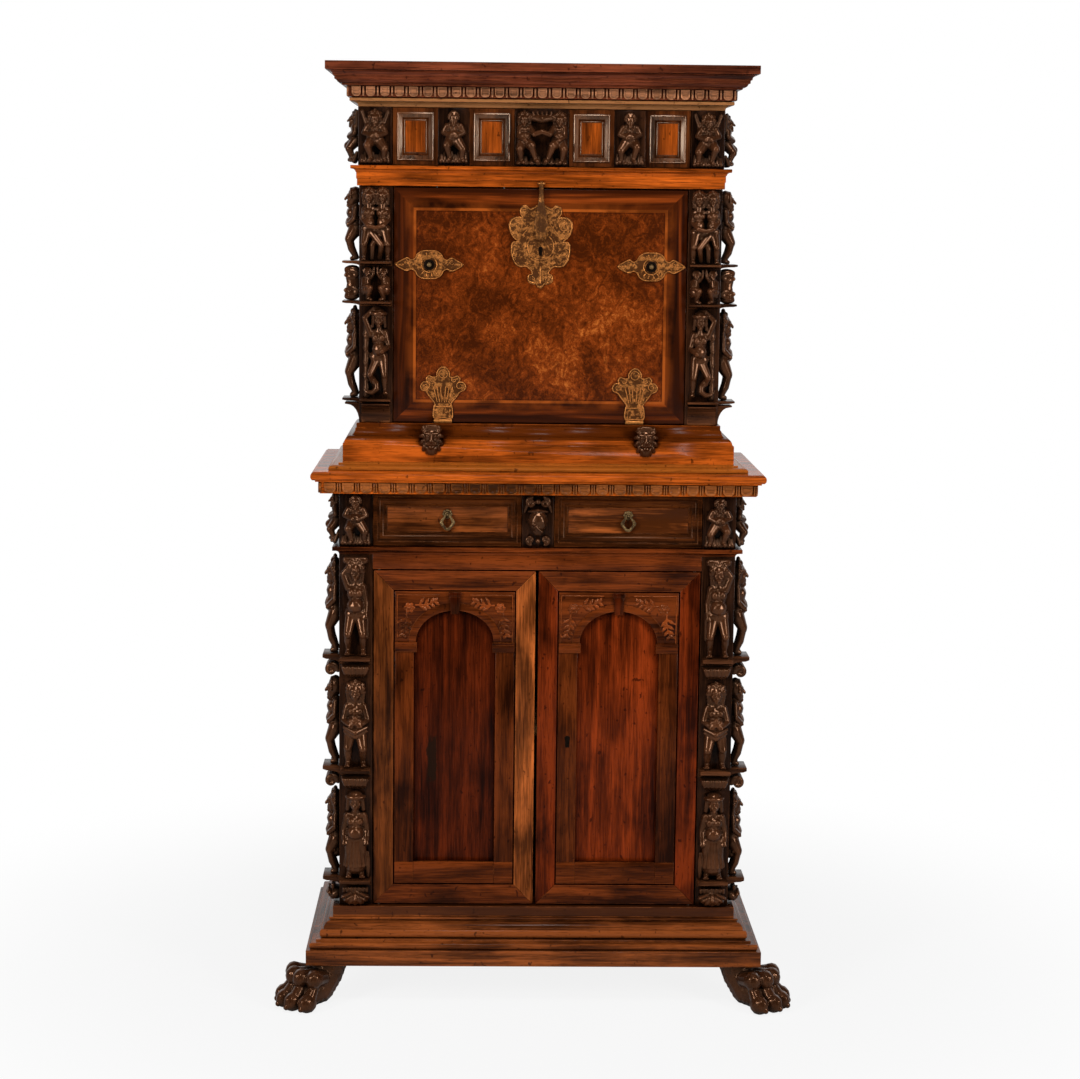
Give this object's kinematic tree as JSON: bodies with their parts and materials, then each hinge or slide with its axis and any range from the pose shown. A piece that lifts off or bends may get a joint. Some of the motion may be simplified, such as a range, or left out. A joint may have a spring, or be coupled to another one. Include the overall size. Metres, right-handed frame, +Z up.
{
  "type": "secretary cabinet",
  "caption": "Carved walnut secretary cabinet: panelled cupboard, drawers with drop pulls, a hinged fall front over pigeonholes, frieze drawers, figure-carved stiles and paw feet.",
  "frame": {"origin": "middle of the floor footprint, on the floor", "axes": "+Z up, the front faces -Y, +X to the right seen from the front"},
  "size_m": [1.041, 0.5084, 1.9],
  "materials": {
    "dark_carved_walnut": "carved, waxed",
    "brown_walnut": "waxed",
    "red_walnut": "waxed",
    "amber_walnut": "waxed",
    "burl_veneer": "polished",
    "plain_case_wood": "raw, planed",
    "worn_gilt_metal": "worn gilding",
    "dark_brass": "tarnished",
    "blackened_iron": "blackened"
  },
  "bodies": {
    "case": {"paw_foot_left": "dark_carved_walnut", "paw_foot_right": "dark_carved_walnut", "cupboard_stile_left": "dark_carved_walnut", "cupboard_stile_right": "dark_carved_walnut", "drawer_cheek_left": "dark_carved_walnut", "drawer_cheek_right": "dark_carved_walnut", "upper_stile_left": "dark_carved_walnut", "upper_stile_right": "dark_carved_walnut", "frieze_cheek_left": "dark_carved_walnut", "frieze_cheek_right": "dark_carved_walnut", "drawer_divider": "dark_carved_walnut", "frieze_centre": "dark_carved_walnut", "cornice": "dark_carved_walnut", "back_foot_left": "brown_walnut", "back_foot_right": "brown_walnut", "cupboard_side_left": "brown_walnut", "cupboard_side_right": "brown_walnut", "upper_side_left": "brown_walnut", "upper_side_right": "brown_walnut", "plinth": "brown_walnut", "waist_board": "brown_walnut", "upper_base": "brown_walnut", "desk_top": "amber_walnut", "frieze_rail": "amber_walnut", "lower_back": "plain_case_wood", "upper_back": "plain_case_wood", "cupboard_shelf": "plain_case_wood", "pigeonhole_rack": "plain_case_wood", "hasp_staple": "worn_gilt_metal", "door_pin_lower_left": "blackened_iron", "door_pin_lower_right": "blackened_iron", "door_pin_upper_left": "blackened_iron", "door_pin_upper_right": "blackened_iron"},
    "door_left": {"door_frame_left": "brown_walnut", "door_panel_left": "red_walnut", "door_arcade_left": "red_walnut"},
    "drawer_left": {"drawer_front_left": "brown_walnut", "drawer_tray_left": "plain_case_wood", "pull_plate_left": "dark_brass"},
    "pull_drop_left": {"pull_drop_left": "dark_brass"},
    "frieze_drawer_left": {"frieze_drawer_left": "dark_carved_walnut"},
    "loper_left": {"loper_left": "dark_carved_walnut"},
    "door_right": {"door_frame_right": "brown_walnut", "door_panel_right": "red_walnut", "door_arcade_right": "red_walnut", "door_lock": "blackened_iron"},
    "drawer_right": {"drawer_front_right": "brown_walnut", "drawer_tray_right": "plain_case_wood", "pull_plate_right": "dark_brass"},
    "pull_drop_right": {"pull_drop_right": "dark_brass"},
    "frieze_drawer_right": {"frieze_drawer_right": "dark_carved_walnut"},
    "loper_right": {"loper_right": "dark_carved_walnut"},
    "fall_front": {"fall_front": "burl_veneer", "lock_plate": "worn_gilt_metal", "fall_lock": "blackened_iron", "hinge_plate_left": "worn_gilt_metal", "hinge_plate_right": "worn_gilt_metal", "escutcheon_left": "worn_gilt_metal", "escutcheon_right": "worn_gilt_metal"},
    "hasp": {"hasp": "worn_gilt_metal"}
  },
  "joints": [
    {"name": "door_left_hinge", "type": "hinge", "parent": "case", "child": "door_left", "pos_m": [-0.319, -0.12775, 0.545], "axis": [0, 0, -1], "range_deg": [0, 100]},
    {"name": "drawer_left_slide", "type": "slide", "parent": "case", "child": "drawer_left", "axis": [0, -1, 0], "range_m": [0, 0.26]},
    {"name": "pull_drop_left_hinge", "type": "hinge", "parent": "drawer_left", "child": "pull_drop_left", "pos_m": [-0.18225, -0.13728, 1.0114], "axis": [-1, 0, 0], "range_deg": [0, 60]},
    {"name": "frieze_drawer_left_slide", "type": "slide", "parent": "case", "child": "frieze_drawer_left", "axis": [0, -1, 0], "range_m": [0, 0.2]},
    {"name": "loper_left_slide", "type": "slide", "parent": "case", "child": "loper_left", "axis": [0, -1, 0], "range_m": [0, 0.22]},
    {"name": "door_right_hinge", "type": "hinge", "parent": "case", "child": "door_right", "pos_m": [0.319, -0.12775, 0.545], "axis": [0, 0, 1], "range_deg": [0, 100]},
    {"name": "drawer_right_slide", "type": "slide", "parent": "case", "child": "drawer_right", "axis": [0, -1, 0], "range_m": [0, 0.26]},
    {"name": "pull_drop_right_hinge", "type": "hinge", "parent": "drawer_right", "child": "pull_drop_right", "pos_m": [0.18225, -0.13728, 1.0114], "axis": [-1, 0, 0], "range_deg": [0, 60]},
    {"name": "frieze_drawer_right_slide", "type": "slide", "parent": "case", "child": "frieze_drawer_right", "axis": [0, -1, 0], "range_m": [0, 0.2]},
    {"name": "loper_right_slide", "type": "slide", "parent": "case", "child": "loper_right", "axis": [0, -1, 0], "range_m": [0, 0.22]},
    {"name": "fall_front_hinge", "type": "hinge", "parent": "case", "child": "fall_front", "pos_m": [0, -0.09925, 1.1914], "axis": [1, 0, 0], "range_deg": [0, 90]},
    {"name": "hasp_hinge", "type": "hinge", "parent": "case", "child": "hasp", "pos_m": [0, -0.10725, 1.6675], "axis": [-1, 0, 0], "range_deg": [0, 90]}
  ]
}
